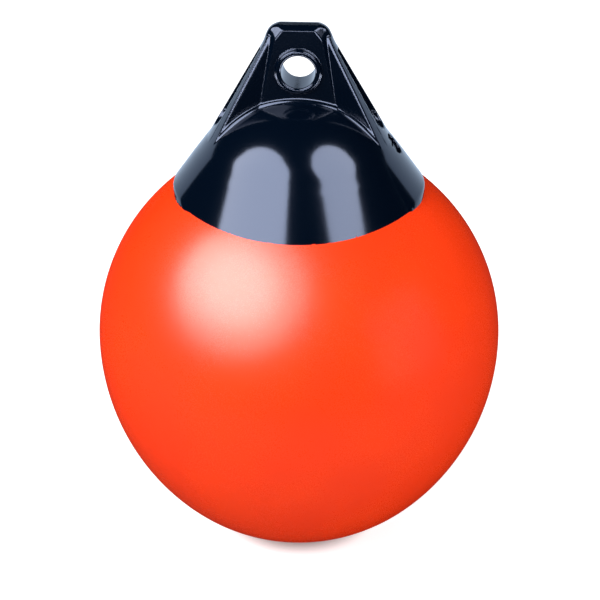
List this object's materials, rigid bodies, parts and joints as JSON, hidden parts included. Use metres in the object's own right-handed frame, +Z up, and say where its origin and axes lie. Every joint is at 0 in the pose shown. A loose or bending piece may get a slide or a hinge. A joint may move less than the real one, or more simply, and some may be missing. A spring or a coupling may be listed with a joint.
{
  "type": "mooring buoy",
  "caption": "Inflatable egg-shaped mooring buoy with a moulded rope-hold cap, a rope eye in a ribbed web and a recessed inflation valve.",
  "frame": {"origin": "on the buoy's axis at the water level where it floats by its own weight", "axes": "+Z up along the buoy's axis to the eye, +Y along the rope eye away from the pictured face, +X toward the valve"},
  "size_m": [0.28, 0.28, 0.3791],
  "materials": {
    "float_vinyl": "satin orange vinyl",
    "cap_vinyl": "glossy navy vinyl",
    "valve_plastic": "dark moulded plastic",
    "seal_rubber": "black rubber"
  },
  "bodies": {
    "root": {"float_body": "float_vinyl", "rope_hold_cap": "cap_vinyl", "valve_sleeve": "valve_plastic", "valve_seal": "seal_rubber", "valve_screw": "valve_plastic"}
  },
  "joints": []
}
